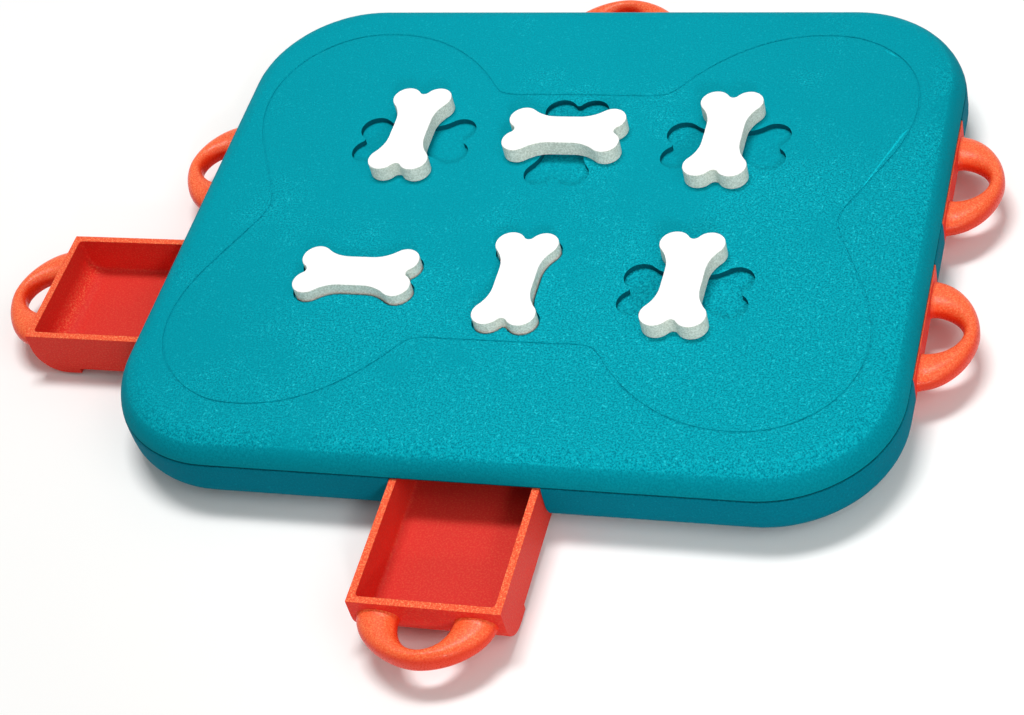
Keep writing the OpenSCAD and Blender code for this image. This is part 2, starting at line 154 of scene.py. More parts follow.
class Wire:
    """A socket of a node tree that can be used in arithmetic."""

    def __init__(self, graph, socket):
        self.graph = graph
        self.socket = socket

    def _maths(self, operation, *values):
        return self.graph.add("ShaderNodeMath", {"operation": operation}, dict(enumerate(values)))

    def __add__(self, other):
        return self._maths("ADD", self, other)

    def __radd__(self, other):
        return self._maths("ADD", other, self)

    def __sub__(self, other):
        return self._maths("SUBTRACT", self, other)

    def __rsub__(self, other):
        return self._maths("SUBTRACT", other, self)

    def __mul__(self, other):
        return self._maths("MULTIPLY", self, other)

    def __truediv__(self, other):
        return self._maths("DIVIDE", self, other)

    def __pow__(self, other):
        return self._maths("POWER", self, other)

    def __abs__(self):
        return self._maths("ABSOLUTE", self)

    def at_most(self, other):
        return self._maths("MINIMUM", self, other)

    def at_least(self, other):
        return self._maths("MAXIMUM", self, other)

    def less_than(self, other):
        return self._maths("LESS_THAN", self, other)

    def sign(self):
        return self._maths("SIGN", self)

    def sine(self):
        return self._maths("SINE", self)

    def cosine(self):
        return self._maths("COSINE", self)


class Graph:
    """A node tree, with one method that adds any node."""

    def __init__(self, tree):
        self.tree = tree
        tree.nodes.clear()

    def add(self, kind, settings=None, sockets=None, out=0):
        """Adds a node: its settings, then values or wires for its sockets; gives one output."""
        node = self.tree.nodes.new(kind)
        for name, value in (settings or {}).items():
            setattr(node, name, value)
        for name, value in (sockets or {}).items():
            if isinstance(value, Wire):
                self.tree.links.new(value.socket, node.inputs[name])
            else:
                node.inputs[name].default_value = value
        return Wire(self, node.outputs[out]) if len(node.outputs) else node

    def outputs(self, wire, names):
        """These outputs of the node that a wire comes from."""
        return [Wire(self, wire.socket.node.outputs[name]) for name in names]

    def step_up(self, value, low, high):
        """0 at low, 1 at high, and smooth between; low may be the higher one."""
        return self.add("ShaderNodeMapRange", {"interpolation_type": "SMOOTHSTEP"},
                        {"Value": value, "From Min": low, "From Max": high})

    def mix(self, share, first, second):
        """A colour between two colours."""
        return self.add("ShaderNodeMix", {"data_type": "RGBA"}, {0: share, 6: first, 7: second},
                        out=2)


# ---------- colours and levels ----------

# Colours are scene linear. A pair is a range that noise runs through.
TEAL_PLAIN = (0.0006, 0.275, 0.349, 1), (0.0010, 0.309, 0.384, 1)
TEAL_PIT = (0.0003, 0.20, 0.268, 1)
TEAL_TIP = (0.003, 0.40, 0.485, 1)
# Painted glints on the grain's tips.
TEAL_GLINT = (0.015, 0.55, 0.64, 1)
# Painted shade on the cover's round edge.
TEAL_EDGE_SHADE = (0.0003, 0.165, 0.22, 1)
# Painted shade on the recess walls.
TEAL_RECESS_SHADE = (0.0004, 0.075, 0.105, 1)
# Painted shade on the base below the seam, whose band curves under.
TEAL_BASE_SHADE = (0.0002, 0.105, 0.18, 1)
# Painted shade along the seam between cover and base.
TEAL_SEAM_SHADE = (0.0002, 0.03, 0.045, 1)

# Painted light: the engraved line is paler, which lifts the shade in its groove.
LINE_PLAIN = (0.0008, 0.33, 0.42, 1), (0.0013, 0.46, 0.56, 1)
LINE_TIP = (0.01, 0.68, 0.76, 1)

RED_SIDE = (0.82, 0.032, 0.025, 1), (0.87, 0.042, 0.028, 1)
# Painted shade on the drawer's floor, darker and redder than the sides.
RED_FLOOR_SHADE = (0.70, 0.036, 0.028, 1)
# The rims' tops: paler from wear and as a painted highlight.
RED_WORN_AND_LIT = (0.96, 0.13, 0.042, 1)
RED_PIT = (0.70, 0.026, 0.014, 1)
# Painted glints on the grain's tips.
RED_GLINT = (1.0, 0.36, 0.15, 1)

HANDLE_SIDE = (0.86, 0.040, 0.008, 1), (0.92, 0.052, 0.010, 1)
# Painted highlight on the handle's top.
HANDLE_HIGHLIGHT = (0.97, 0.14, 0.036, 1)
HANDLE_PIT = (0.80, 0.040, 0.012, 1)
# Painted glints on the handle's top.
HANDLE_GLINT = (1.0, 0.42, 0.16, 1)

BONE_TOP = (0.94, 0.94, 0.93, 1)
BONE_SIDE = (0.74, 0.71, 0.60, 1), (1.0, 0.965, 0.86, 1)
ZINC_TONES = (0.52, 0.53, 0.55, 1), (0.68, 0.69, 0.70, 1)
RUBBER_TONES = (0.022, 0.024, 0.026, 1), (0.055, 0.057, 0.06, 1)

WHITE = (1, 1, 1, 1)
# Paper and sky: as light meets them, and as the eye does.
PAPER_TONES = (0.86, 0.85, 0.83, 1), (1.0, 1.0, 0.99, 1)
SKY_TONES = (1.0, 0.985, 0.955, 1), WHITE

# Heights above the table, in millimetres, between which a finish comes in.
COVER_EDGE_LEVELS = 31.9, 31.4
# Painted shade on the recess walls comes in between these heights.
RECESS_SHADE_LEVELS = 31.6, 32.2
BASE_LEVELS = 24.0, 23.6
SEAM_LEVEL = 24.1
SEAM_SHADE_REACH = 0.42, 0.22
DRAWER_RIM_LEVELS = 22.75, 23.15
DRAWER_FLOOR_LEVELS = 9, 6

# How deep the grain is, in millimetres.
GRAIN_DEPTH = 0.06
FINE_GRAIN_DEPTH = 0.05


# ---------- materials ----------

def material(name, build):
    """A material whose nodes are added by build(graph), which gives the shader for the surface."""
    made = bpy.data.materials.new(name)
    made.use_nodes = True
    graph = Graph(made.node_tree)
    graph.add("ShaderNodeOutputMaterial", None, {"Surface": build(graph)})
    return made


def surface(graph, colour, roughness, specular, normal=None, metallic=0.0):
    """The shader of an opaque surface."""
    sockets = {"Base Color": colour, "Roughness": roughness, "Specular IOR Level": specular,
               "Metallic": metallic}
    if normal is not None:
        sockets["Normal"] = normal
    return graph.add("ShaderNodeBsdfPrincipled", None, sockets)


def relief(graph, depth, pattern, strength=0.5):
    """A normal that follows a pattern up to depth millimetres deep."""
    return graph.add("ShaderNodeBump", None,
                     {"Strength": strength, "Distance": depth * MM, "Height": pattern})


def noise(graph, size, detail=2.0, rough=0.5):
    """Noise whose features are about size millimetres across."""
    place = graph.add("ShaderNodeTexCoord", out="Object")
    return graph.add("ShaderNodeTexNoise", None,
                     {"Vector": place, "Scale": 1 / (size * MM), "Detail": detail,
                      "Roughness": rough}, out="Fac")


def height(graph):
    """Height above the table in millimetres."""
    place = graph.add("ShaderNodeTexCoord", out="Object")
    return graph.add("ShaderNodeSeparateXYZ", None, {"Vector": place}, out="Z") / MM


def upward(graph):
    """How much a surface faces up, from -1 to 1."""
    facing = graph.add("ShaderNodeNewGeometry", out="Normal")
    return graph.add("ShaderNodeSeparateXYZ", None, {"Vector": facing}, out="Z")


def across_case(graph):
    """Grows from about -1.4 at the case's back left to 1.4 at its front right."""
    place = graph.add("ShaderNodeTexCoord", out="Object")
    return graph.add("ShaderNodeVectorMath", {"operation": "DOT_PRODUCT"},
                     {0: place, 1: (3.0, -7.2, 0)}, out="Value")


def spark_grain(graph, size, low=0.36, high=0.66):
    """The grain of a spark-eroded mould, from 0 in its pits to 1 on its glinting tips."""
    return graph.step_up(noise(graph, size, 2.5, 0.6), low, high)


def case_plastic(graph):
    """Teal plastic from a spark-eroded mould: matte, with a fine grain and painted glints; shade is
    painted on its round edge, recess walls, base and seam.
    """
    grain = spark_grain(graph, 0.75)
    glints = spark_grain(graph, 1.1, 0.58, 0.74)
    # The grain and its painted glints are stronger in random patches and, as painted sheen, towards
    # the case's front right; on the cover's round edge they are weaker.
    patches = graph.step_up(noise(graph, 45, 3, 0.6) + across_case(graph) * 0.22, 0.39, 0.66)
    edge = (graph.step_up(upward(graph), 0.995, 0.6)
            * graph.step_up(height(graph), *COVER_EDGE_LEVELS))
    strength = (0.3 + patches * 0.75) * (1 - edge * 0.6)
    plain = graph.mix(noise(graph, 55), *TEAL_PLAIN)
    dark = graph.mix((1 - grain) * strength, plain, TEAL_PIT)
    light = graph.mix(grain * strength, dark, TEAL_TIP)
    # Painted glints: lighter spots of colour on the grain.
    bright = graph.mix(glints * strength, light, TEAL_GLINT)
    # Painted shade: the cover's round edge is darker too, the recess walls are darker, and the base
    # below the seam is darker than the cover, as shade on its band that curves under.
    base = graph.step_up(height(graph), *BASE_LEVELS)
    edge_shaded = graph.mix(edge * (1 - base) * 0.5, bright, TEAL_EDGE_SHADE)
    recess_shade = (graph.step_up(height(graph), *RECESS_SHADE_LEVELS)
            * graph.step_up(abs(upward(graph)), 0.7, 0.3))
    shaded = graph.mix(recess_shade * 0.9, edge_shaded, TEAL_RECESS_SHADE)
    base_shaded = graph.mix(base * 0.63, shaded, TEAL_BASE_SHADE)
    # Painted shade along the seam between cover and base.
    seam_shade = graph.step_up(abs(height(graph) - SEAM_LEVEL), *SEAM_SHADE_REACH)
    colour = graph.mix(seam_shade * 0.9, base_shaded, TEAL_SEAM_SHADE)
    return surface(graph, colour, 0.55 + grain * 0.2, 0.015,
                   relief(graph, GRAIN_DEPTH, grain + glints * 0.5))


def line_plastic(graph):
    """The same plastic in the engraved line, painted paler to lift the shade in the groove."""
    grain = spark_grain(graph, 0.8)
    # Patches of the painted lift, some paler than others.
    mottle = graph.step_up(noise(graph, 9), 0.35, 0.65)
    colour = graph.mix(grain * 0.5, graph.mix(mottle, *LINE_PLAIN), LINE_TIP)
    return surface(graph, colour, 0.6 + grain * 0.2, 0.015)


def drawer_plastic(graph):
    """Orange-red plastic with a fine grain; painted glints paler on faces that face up, a floor
    painted darker as shade, and rims paler from wear and a painted highlight.
    """
    grain = spark_grain(graph, 0.7)
    glints = spark_grain(graph, 0.75, 0.46, 0.68)
    facing_up = graph.step_up(upward(graph), 0.1, 0.9)
    rim = graph.step_up(height(graph), *DRAWER_RIM_LEVELS) * facing_up
    floor = graph.step_up(height(graph), *DRAWER_FLOOR_LEVELS) * facing_up
    # Painted shade: the floor is darker and redder than the sides.
    plain = graph.mix(floor, graph.mix(noise(graph, 22), *RED_SIDE), RED_FLOOR_SHADE)
    # The rims' tops are paler, partly from wear and partly as a painted highlight.
    worn_and_lit = graph.mix(rim * 0.85, plain, RED_WORN_AND_LIT)
    dark = graph.mix((1 - grain) * (0.5 - floor * 0.15), worn_and_lit, RED_PIT)
    # Painted glints are strongest on the rims, stronger on faces that face up, and nearly gone on
    # the floor.
    sparkle = glints * (0.14 + facing_up * 0.25 - floor * 0.29 + rim * 0.36)
    colour = graph.mix(sparkle, dark, RED_GLINT)
    return surface(graph, colour, 0.42 + grain * 0.2, 0.10,
                   relief(graph, GRAIN_DEPTH, grain + glints * 0.5))


def handle_plastic(graph):
    """The same plastic on the handle: brighter and glossier, with a painted highlight on top and
    painted glints.
    """
    grain = spark_grain(graph, 0.7)
    glints = spark_grain(graph, 0.62, 0.44, 0.7)
    facing_up = graph.step_up(upward(graph), 0.25, 0.98)
    # Painted highlight on the faces that face up.
    plain = graph.mix(facing_up * 0.85, graph.mix(noise(graph, 22), *HANDLE_SIDE), HANDLE_HIGHLIGHT)
    dark = graph.mix((1 - grain) * 0.4, plain, HANDLE_PIT)
    # Painted glints on the faces that face up.
    colour = graph.mix(glints * facing_up * 0.45, dark, HANDLE_GLINT)
    return surface(graph, colour, 0.25 + grain * 0.15, 0.24, relief(graph, GRAIN_DEPTH, grain))


def bone_plastic(graph):
    """White plastic with plain tops and finely textured sides."""
    grain = spark_grain(graph, 0.75)
    side = graph.step_up(abs(upward(graph)), 0.8, 0.35)
    colour = graph.mix(side, BONE_TOP, graph.mix(grain, *BONE_SIDE))
    return surface(graph, colour, 0.5 + grain * 0.15, 0.2,
                   relief(graph, FINE_GRAIN_DEPTH, grain * side))


def screw_zinc(graph):
    """Zinc-plated steel with a faintly blotched polish."""
    blotches = noise(graph, 1.5, 3)
    return surface(graph, graph.mix(blotches, *ZINC_TONES), 0.28 + blotches * 0.2, 0.5,
                   metallic=1.0)


def foot_rubber(graph):
    """Dark soft rubber with a dull, dusty face."""
    mottle = noise(graph, 2.5, 4, 0.6)
    return surface(graph, graph.mix(mottle, *RUBBER_TONES), 0.75 + mottle * 0.15, 0.3,
                   relief(graph, FINE_GRAIN_DEPTH, mottle, 0.4))


CASE = material("grained_teal_plastic", case_plastic)
LINE = material("paled_teal_plastic", line_plastic)
DRAWER = material("orange_red_plastic", drawer_plastic)
HANDLE = material("orange_red_polished", handle_plastic)
BONE = material("white_bone_plastic", bone_plastic)
ZINC = material("zinc_plated_steel", screw_zinc)
RUBBER = material("soft_foot_rubber", foot_rubber)


# ---------- mesh helpers ----------

def arc(x, y, radius, start, end, steps):
    """Points of an arc, in degrees, with both ends."""
    turns = [math.radians(a) for a in np.linspace(start, end, steps)]
    return [(x + radius * math.cos(a), y + radius * math.sin(a)) for a in turns]


@contextmanager
def edited(mesh):
    """Opens a mesh for edits, which are written back to it at the end."""
    bm = bmesh.new()
    bm.from_mesh(mesh)
    yield bm
    bm.to_mesh(mesh)
    bm.free()


def merge_flat(bm):
    """Merges faces that lie in one plane."""
    bmesh.ops.dissolve_limit(bm, angle_limit=FLAT_ANGLE, verts=bm.verts, edges=bm.edges)


def mesh_from(bm, name):
    """A plain mesh out of an edit mesh, faces outwards."""
    bmesh.ops.recalc_face_normals(bm, faces=bm.faces)
    mesh = bpy.data.meshes.new(name)
    bm.to_mesh(mesh)
    bm.free()
    return mesh


def skin(bm, first, second):
    """Faces between two closed rows of as many points each."""
    for i in range(len(first)):
        j = (i + 1) % len(first)
        bm.faces.new((first[i], first[j], second[j], second[i]))


def stack(rings, name):
    """A closed shell through rings of as many points each, in millimetres, with flat ends."""
    bm = bmesh.new()
    rows = [[bm.verts.new(Vector(p) * MM) for p in ring] for ring in rings]
    for low, high in zip(rows, rows[1:]):
        skin(bm, low, high)
    bm.faces.new(rows[0][::-1])
    bm.faces.new(rows[-1])
    return mesh_from(bm, name)


def across(outline, ends, name):
    """A block between two places on X, with its side outline in Y and Z."""
    return stack([[(x, y, z) for y, z in outline] for x in ends], name)


def applied(obj):
    """The mesh of an object with its modifiers worked in; the object is removed."""
    seen = obj.evaluated_get(bpy.context.evaluated_depsgraph_get())
    mesh = bpy.data.meshes.new_from_object(seen)
    bpy.data.objects.remove(obj)
    return mesh


def linked(name, data):
    """An object of the scene that holds a mesh, a lamp or a camera."""
    obj = bpy.data.objects.new(name, data)
    bpy.context.scene.collection.objects.link(obj)
    return obj


def combined(first, second, operation):
    """Two closed meshes joined by a Boolean operation."""
    body = linked("body", first)
    tool = linked("tool", second)
    change = body.modifiers.new("change", "BOOLEAN")
    change.operation = operation
    change.object = tool
    change.solver = "EXACT"
    mesh = applied(body)
    bpy.data.objects.remove(tool)
    return mesh


def face_angle(edge):
    """The angle between an edge's two faces, or None for an edge with more or fewer."""
    return edge.calc_face_angle() if len(edge.link_faces) == 2 else None


def rounded(mesh, width_of, steps=3):
    """Rounds a mesh's edges: width_of(edge) gives the width in millimetres for a sharp edge."""
    widths = {}
    with edited(mesh) as bm:
        merge_flat(bm)
        layers = bm.edges.layers.float
        weights = layers.get("bevel_weight_edge") or layers.new("bevel_weight_edge")
        for edge in bm.edges:
            edge[weights] = 0
            if (face_angle(edge) or 0) > ROUNDED_ANGLE:
                widths[edge] = width_of(edge)
        widest = max(widths.values())
        for edge, width in widths.items():
            edge[weights] = width / widest
    obj = linked("rounding", mesh)
    bevel = obj.modifiers.new("rounds", "BEVEL")
    bevel.limit_method = "WEIGHT"
    bevel.width = widest * MM
    bevel.segments = steps
    bevel.use_clamp_overlap = True
    return applied(obj)


def smooth(mesh):
    """Smooth shading that keeps flat faces flat and sharp edges sharp."""
    with edited(mesh) as bm:
        bmesh.ops.remove_doubles(bm, verts=bm.verts, dist=1e-7)
        for face in bm.faces:
            face.smooth = True
        for edge in bm.edges:
            angle = face_angle(edge)
            edge.smooth = angle is not None and angle < SHARP_ANGLE
    obj = linked("shading", mesh)
    even = obj.modifiers.new("even", "WEIGHTED_NORMAL")
    even.keep_sharp = True
    even.weight = 100
    return applied(obj)


def piece(mesh, name, body, finishes, nodes):
    """A finished piece that rides on a body and stands for its CAD nodes.

    Its faces say which of the finishes they take.
    """
    chosen = [min(face.material_index, len(finishes) - 1) for face in mesh.polygons]
    mesh.materials.clear()
    for finish in finishes:
        mesh.materials.append(finish)
    mesh.polygons.foreach_set("material_index", chosen)
    obj = linked(name, mesh)
    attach(obj, body)
    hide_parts(*nodes)


def weld(bm):
    """Merges the points that a CAD mesh has more than once."""
    bmesh.ops.remove_doubles(bm, verts=bm.verts, dist=1e-6)


def cad_copy(node):
    """A merged copy of a CAD node's mesh."""
    bm = bmesh.new()
    bm.from_mesh(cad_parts[node].data)
    weld(bm)
    mesh = bpy.data.meshes.new(node + "_copy")
    bm.to_mesh(mesh)
    bm.free()
    return mesh


def moved(mesh, turn, place):
    """A copy of a mesh turned about Z, in degrees, and set at a place in metres."""
    copy = mesh.copy()
    copy.transform(Matrix.Translation(place) @ Matrix.Rotation(math.radians(turn), 4, "Z"))
    return copy


# ---------- case ----------

COVER_SEAM, COVER_TOP = [corner.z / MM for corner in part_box("top_cover")]
BASE_LOW, BASE_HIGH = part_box("base_tray")


def cover_round(edge):
    """The round of a cover's edge: recess rims and floors, the engraved line and the seam."""
    middle = (edge.verts[0].co.z + edge.verts[1].co.z) / 2 / MM
    lowest = min(v.co.z for f in edge.link_faces for v in f.verts) / MM
    deepest, shallowest = RECESS_FLOOR_BAND
    if abs(middle - COVER_TOP) < NEAR:
        # The line is shallow, so the faces at its edges don't reach far down.
        return LINE_ROUND if lowest > COVER_TOP - 1 else RECESS_RIM_ROUND
    if COVER_TOP - deepest < middle < COVER_TOP - shallowest:
        return RECESS_FLOOR_ROUND
    if middle < COVER_SEAM + NEAR:
        return SEAM_ROUND
    return 0


def base_round(edge):
    """The round of a base's edge: the drawers' openings, the seam and the underside."""
    middle = (edge.verts[0].co + edge.verts[1].co) / 2
    beyond = max(abs(middle.x) - BASE_HIGH.x, abs(middle.y) - BASE_HIGH.y) / MM
    if middle.z < BASE_LOW.z + NEAR * MM or beyond > -OPENING_DEPTH:
        return SEAM_ROUND
    return 0


def curve_through(points, steps):
    """A closed smooth curve through points, with that many steps between neighbours."""
    here = np.array(points, float)
    after, before = np.roll(here, -1, 0), np.roll(here, 1, 0)
    ahead = np.linalg.norm(after - here, axis=1)[:, None]
    behind = np.linalg.norm(here - before, axis=1)[:, None]
    slope = ((after - here) / ahead * behind + (here - before) / behind * ahead) / (ahead + behind)
    next_slope = np.roll(slope, -1, 0)
    parts = [here * (2 * t ** 3 - 3 * t ** 2 + 1) + after * (3 * t ** 2 - 2 * t ** 3)
             + ahead * (slope * (t ** 3 - 2 * t ** 2 + t) + next_slope * (t ** 3 - t ** 2))
             for t in np.linspace(0, 1, steps, endpoint=False)]
    return np.stack(parts, 1).reshape(-1, 2)


def line_cutter():
    """A closed band along the engraved bone's line, from the line's bottom to above the cover."""
    right = BIG_BONE + [(x, -y) for x, y in reversed(BIG_BONE[:-1])]
    curve = curve_through(right + [(-x, y) for x, y in reversed(right[1:-1])], LINE_STEPS)
    run = np.roll(curve, -1, 0) - np.roll(curve, 1, 0)
    square = np.stack([run[:, 1], -run[:, 0]], 1) / np.linalg.norm(run, axis=1)[:, None]
    side = square * LINE_WIDTH / 2
    low, high = COVER_TOP - LINE_DEPTH, COVER_TOP + 1
    corners = [(curve + side, low), (curve + side, high), (curve - side, high),
               (curve - side, low)]
    bm = bmesh.new()
    rails = [[bm.verts.new(Vector((x, y, z)) * MM) for x, y in path] for path, z in corners]
    for first, second in zip(rails, rails[1:] + rails[:1]):
        skin(bm, first, second)
    return mesh_from(bm, "line_cutter")


def cover_blank():
    """The cover with its engraved line filled up."""
    mesh = cad_copy("top_cover")
    bottom = (COVER_TOP - LINE_DEPTH) * MM
    with edited(mesh) as bm:
        for face in bm.faces:
            if face.normal.z > 0.999 and abs(face.verts[0].co.z - bottom) < NEAR * MM:
                for vert in face.verts:
                    vert.co.z = COVER_TOP * MM
        weld(bm)
        merge_flat(bm)
    return mesh


def in_line(face):
    """Whether a face of the cover lies in the engraved line.

    Such a face is just below the top, away from the recesses, and not part of the cover's nearly
    flat outer round.
    """
    x, y, z = face.center / MM
    deep = COVER_TOP - LINE_DEPTH - 0.1 < z < COVER_TOP - NEAR
    nearly_flat = 0.9 < face.normal.z < 0.999
    return deep and not nearly_flat and (abs(x) > RECESS_FIELD[0] or abs(y) > RECESS_FIELD[1])


cover = smooth(rounded(combined(cover_blank(), line_cutter(), "DIFFERENCE"), cover_round))
# Faces in the engraved line take the paler finish, painted light against the groove's shade.
cover.polygons.foreach_set("material_index", [int(in_line(face)) for face in cover.polygons])
piece(cover, "cover_skin", "case", (CASE, LINE), ["top_cover"])
base = smooth(rounded(cad_copy("base_tray"), base_round, 2))
piece(base, "base_skin", "case", (CASE,), ["base_tray"])


# ---------- drawers ----------

def drawer_box():
    """The drawer without its handle, closed, in its bay's frame."""
    low, high = [v.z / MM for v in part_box("drawer_back")]
    half = DRAWER_WIDTH / 2
    nose = arc(NOSE_ROUND, low + NOSE_ROUND, NOSE_ROUND, 180, 270, 13)
    side = [(0, high), *nose, (NOSE_LENGTH, low), (NOSE_LENGTH, FLOOR_LEVEL),
            (DRAWER_LENGTH, FLOOR_LEVEL), (DRAWER_LENGTH, high)]
    back = DRAWER_LENGTH - DRAWER_WALL
    scoop = arc(DRAWER_WALL + SCOOP_RADIUS, INSIDE_LEVEL + SCOOP_RADIUS, SCOOP_RADIUS, 180, 270, 11)
    hollow = [(DRAWER_WALL, high + CUTTER_RISE), *scoop, (back, INSIDE_LEVEL),
              (back, high + CUTTER_RISE)]
    hollow_half = half - DRAWER_WALL
    outer = rounded(across(side, (-half, half), "drawer_side"), outer_round, 4)
    inner = rounded(across(hollow, (-hollow_half, hollow_half), "drawer_hollow"), inner_round, 4)
    box = combined(outer, inner, "DIFFERENCE")
    tab_high = high - TAB_DROP
    tab_low = tab_high - TAB_HEIGHT
    tab_front = DRAWER_LENGTH - TAB_LENGTH + TAB_GAP
    tab = [(tab_front, tab_low), (DRAWER_LENGTH, tab_low), (DRAWER_LENGTH, tab_high),
           (tab_front, tab_high)]
    for hand in (-1, 1):
        ends = sorted((hand * (half - TAB_ROOT), hand * (half + TAB_REACH)))
        box = combined(box, across(tab, ends, "stop_tab"), "UNION")
    return rounded(box, lambda edge: rim_round(edge, high))


def outer_round(edge):
    """Upright corners of the drawer take the corner radius, its lower edges a small round."""
    a, b = edge.verts[0].co, edge.verts[1].co
    upright = abs(a.z - b.z) > abs(a.y - b.y) and abs(a.z - b.z) > abs(a.x - b.x)
    if upright:
        return OUTSIDE_CORNER
    return 0 if min(a.z, b.z) > RIM_ZONE * MM else LOWER_EDGE_ROUND


def inner_round(edge):
    """Every edge of the hollow but those above the rim."""
    return 0 if min(v.co.z for v in edge.verts) > ABOVE_RIM * MM else INSIDE_CORNER


def rim_round(edge, rim):
    """The rim's inner and outer edges."""
    return RIM_ROUND if min(v.co.z for v in edge.verts) / MM > rim - NEAR else 0


def handle_tree():
    """A geometry tree for a loop handle.

    It bends a sheet to a tube whose section lies between an inner and an outer arch.
    """
    tree = bpy.data.node_groups.new("loop_handle", "GeometryNodeTree")
    tree.interface.new_socket("Geometry", in_out="INPUT", socket_type="NodeSocketGeometry")
    for name in HANDLE_SIZES:
        tree.interface.new_socket(name, in_out="INPUT", socket_type="NodeSocketFloat")
    tree.interface.new_socket("Geometry", in_out="OUTPUT", socket_type="NodeSocketGeometry")
    graph = Graph(tree)
    half, reach, hole_half, hole_reach, tall, level, root, flare = graph.outputs(
        graph.add("NodeGroupInput"), HANDLE_SIZES)
    sheet = graph.add("GeometryNodeMeshGrid", None, {
        "Size X": 1, "Size Y": 1, "Vertices X": HANDLE_ROWS, "Vertices Y": HANDLE_ROUND},
        out="Mesh")
    place = graph.add("ShaderNodeSeparateXYZ", None,
                      {"Vector": graph.add("GeometryNodeInputPosition")})
    sheet_x, sheet_y = graph.outputs(place, "XY")
    along = sheet_x * 2
    around = sheet_y * (2 * math.pi)
    inside = (abs(along) - ARCH_SHARE).at_least(0) / (1 - ARCH_SHARE)
    turn = along.at_most(ARCH_SHARE).at_least(-ARCH_SHARE) / ARCH_SHARE * (math.pi / 2)
    side = turn.sine()
    out = turn.cosine().at_least(0)
    outer_x = turn.sign() * (abs(side) ** ARCH_FULLNESS) * half
    outer_y = (out ** ARCH_FULLNESS) * reach
    inner_x = side * hole_half
    inner_y = out * hole_reach
    middle_x = (outer_x + inner_x) / 2
    middle_y = (outer_y + inner_y) / 2
    # The tube swells towards the drawer, in a small flare.
    flare_reach = FLARE_REACH * MM
    near_root = ((flare_reach - middle_y).at_least(0) / flare_reach) ** 2 * flare
    thick_x = (outer_x - inner_x) / 2 + turn.sign() * near_root
    thick_y = (outer_y - inner_y) / 2
    thick_z = tall / 2 + near_root
    ring_out, ring_up = [part.sign() * (abs(part) ** SECTION_SQUARENESS)
                         for part in (around.cosine(), around.sine())]
    # The first and last ring shrink to a point, which closes the tube.
    open_end = abs(along).less_than(0.999)
    x = middle_x + thick_x * ring_out * open_end
    y = middle_y + thick_y * ring_out * open_end
    z = level + thick_z * ring_up * open_end
    spot = graph.add("ShaderNodeCombineXYZ", None, {"X": x, "Y": inside * root - y, "Z": z})
    bent = graph.add("GeometryNodeSetPosition", None, {"Geometry": sheet, "Position": spot})
    closed = graph.add("GeometryNodeMergeByDistance", None,
                       {"Geometry": bent, "Distance": HANDLE_MERGE * MM})
    graph.add("NodeGroupOutput", None, {"Geometry": closed})
    return tree


def grown(tree, values, name):
    """The mesh that a geometry tree makes with these values for its named inputs."""
    obj = linked(name, bpy.data.meshes.new(name))
    maker = obj.modifiers.new("maker", "NODES")
    maker.node_group = tree
    for socket in tree.interface.items_tree:
        if socket.in_out == "INPUT" and socket.name in values:
            maker[socket.identifier] = values[socket.name]
    return applied(obj)


def drawer_with_handle():
    """The whole drawer, in its bay's frame, its handle's faces marked for the polished finish."""
    sizes = {name: size * MM for name, size in HANDLE_SIZES.items()}
    bm = bmesh.new()
    bm.from_mesh(grown(handle_tree(), sizes, "loop_handle"))
    handle = mesh_from(bm, "loop_handle_out")
    whole = smooth(combined(drawer_box(), handle, "UNION"))
    outside = -0.05 * MM
    whole.polygons.foreach_set(
        "material_index", [int(face.center.y < outside) for face in whole.polygons])
    return whole


def bay_place(bay, inward):
    """Where the drawer's frame has its origin in this bay, found from its CAD box's rear end."""
    low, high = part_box("drawer_" + bay)
    rear = [high[i] if inward[i] > 0.5 else low[i] if inward[i] < -0.5 else (low[i] + high[i]) / 2
            for i in range(2)]
    return Vector((*rear, 0)) - inward * DRAWER_LENGTH * MM


drawer = drawer_with_handle()
for bay, turn in BAY_TURNS.items():
    inward = Matrix.Rotation(math.radians(turn), 3, "Z") @ Vector((0, 1, 0))
    piece(moved(drawer, turn, bay_place(bay, inward)), "drawer_shell_" + bay, bay + "_drawer",
          (DRAWER, HANDLE), ["drawer_" + bay])


# ---------- bone pegs ----------

def bone_outline(grow):
    """A bone's outline in X and Y, long along X, moved outwards by grow."""
    knuckle = KNUCKLE_RADIUS + grow
    # The shank's flank is an arc that meets a knuckle and the shank's straight middle.
    rise = SHANK_HALF + grow - KNUCKLE_ASIDE
    run = KNUCKLE_ALONG - SHANK_STRAIGHT
    hollow = (run * run + rise * rise - knuckle * knuckle) / (2 * (knuckle - rise))
    hollow_y = SHANK_HALF + grow + hollow
    # The notch between two knuckles is an arc that meets both.
    past = NOTCH_ALONG + grow - KNUCKLE_ALONG
    dip = (past * past + KNUCKLE_ASIDE ** 2 - knuckle * knuckle) / (2 * (knuckle - past))
    dip_x = NOTCH_ALONG + grow + dip
    to_knuckle = math.degrees(math.atan2(KNUCKLE_ASIDE, KNUCKLE_ALONG - dip_x))
    to_hollow = math.degrees(math.atan2(hollow_y - KNUCKLE_ASIDE, SHANK_STRAIGHT - KNUCKLE_ALONG))
    quarter = arc(dip_x, 0, dip, 180, to_knuckle, 7)[:-1]
    quarter += arc(KNUCKLE_ALONG, KNUCKLE_ASIDE, knuckle, to_knuckle - 180, to_hollow, 21)[:-1]
    quarter += arc(SHANK_STRAIGHT, hollow_y, hollow, to_hollow - 180, -90, 11)
    half = quarter + [(-x, y) for x, y in reversed(quarter)]
    return half[:-1] + [(x, -y) for x, y in reversed(half[1:])]


